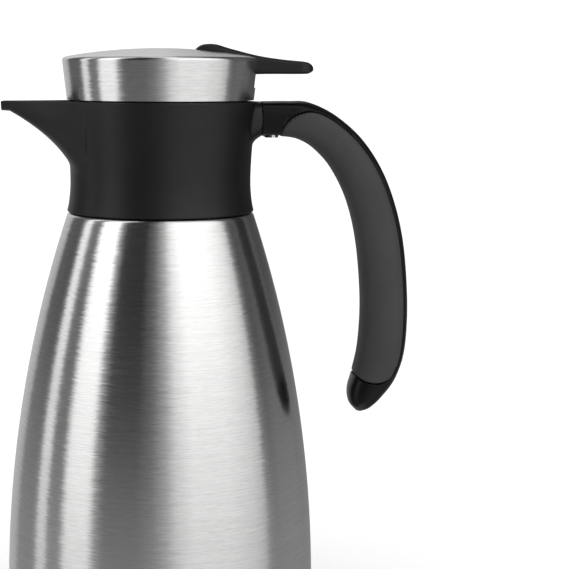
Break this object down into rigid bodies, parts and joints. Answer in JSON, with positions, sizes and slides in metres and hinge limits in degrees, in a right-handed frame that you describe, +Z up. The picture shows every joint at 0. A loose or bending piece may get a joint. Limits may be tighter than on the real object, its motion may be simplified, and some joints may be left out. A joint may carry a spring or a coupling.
{
  "type": "insulated coffee jug",
  "caption": "Double-walled steel jug with a moulded spout collar, a hanging grip handle and a push-in lid whose thumb lever lifts a sprung pouring valve.",
  "frame": {"origin": "on the flask's axis, in the plane that the jug stands on", "axes": "+Z up along the flask's axis, -X towards the spout, +X towards the handle"},
  "size_m": [0.1581, 0.12, 0.2314],
  "materials": {
    "brushed_steel": "stainless steel, brushed round the axis",
    "satin_steel": "satin stainless steel",
    "spring_steel": "bright drawn stainless wire and screws",
    "black_plastic": "satin black moulding",
    "inner_plastic": "matt black moulding, food side",
    "soft_grip": "dark grey soft-touch elastomer",
    "silicone": "grey silicone",
    "foam": "off-white foam"
  },
  "bodies": {
    "carafe": {"outer_shell": "brushed_steel", "outer_base": "satin_steel", "inner_flask": "satin_steel", "getter_pill": "spring_steel", "base_cap": "black_plastic", "base_pad": "silicone", "collar": "black_plastic", "collar_gasket": "silicone", "neck_lock_ring": "inner_plastic", "handle_frame": "black_plastic", "handle_grip": "soft_grip", "handle_screw_left": "spring_steel", "handle_screw_right": "spring_steel"},
    "lid_seal": {"stopper_gasket": "silicone"},
    "lid": {"lid_cap": "brushed_steel", "lid_base": "inner_plastic", "lid_insulation": "foam", "stopper": "inner_plastic", "chamber_seal": "silicone", "stem_seal": "silicone", "lid_screw_1": "spring_steel", "lid_screw_2": "spring_steel", "lid_screw_3": "spring_steel", "lever_pin": "spring_steel"},
    "lever": {"thumb_lever": "black_plastic"},
    "valve": {"valve_stem": "spring_steel", "stem_head": "inner_plastic", "valve_disc": "inner_plastic", "valve_seal": "silicone", "valve_spring": "spring_steel"}
  },
  "joints": [
    {"name": "lid_lift", "type": "slide", "parent": "carafe", "child": "lid_seal", "axis": [0, 0, 1], "range_m": [0, 0.07]},
    {"name": "lid_turn", "type": "hinge", "parent": "lid_seal", "child": "lid", "pos_m": [0, 0, 0.2], "axis": [0, 0, 1], "continuous": true},
    {"name": "thumb_press", "type": "hinge", "parent": "lid", "child": "lever", "pos_m": [0.0175, 0, 0.2222], "axis": [0, 1, 0], "range_deg": [0, 11]},
    {"name": "valve_lift", "type": "slide", "parent": "lid", "child": "valve", "axis": [0, 0, 1], "range_m": [0, 0.0032], "stiffness_N_per_m": 25, "springref_m": -0.01, "deforming": ["valve_spring"]}
  ],
  "couplings": [
    {"joint": "thumb_press", "follows": "valve_lift", "rad_per_m": 59.17}
  ]
}
